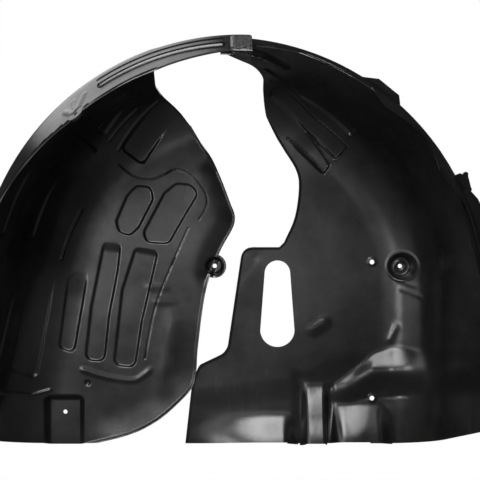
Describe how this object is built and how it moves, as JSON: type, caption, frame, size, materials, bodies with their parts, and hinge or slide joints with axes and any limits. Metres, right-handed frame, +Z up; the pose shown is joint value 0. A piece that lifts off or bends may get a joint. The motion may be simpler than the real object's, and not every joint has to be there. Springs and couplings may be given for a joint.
{
  "type": "wheel arch liner",
  "caption": "Black plastic wheel arch liner in a front and a rear half lapped at the crown, with a flared rim, embossed walls, a strut gap and screw seats.",
  "frame": {"origin": "bottom centre of the box round the liner as it is fitted", "axes": "+X to the rear of the car, +Y inboard along the axle, +Z up"},
  "size_m": [0.805, 0.3224, 0.64],
  "materials": {
    "liner_plastic": "black polypropylene, moulded with a soft uneven sheen"
  },
  "bodies": {
    "root": {"front_section": "liner_plastic", "rear_section": "liner_plastic"}
  },
  "joints": []
}
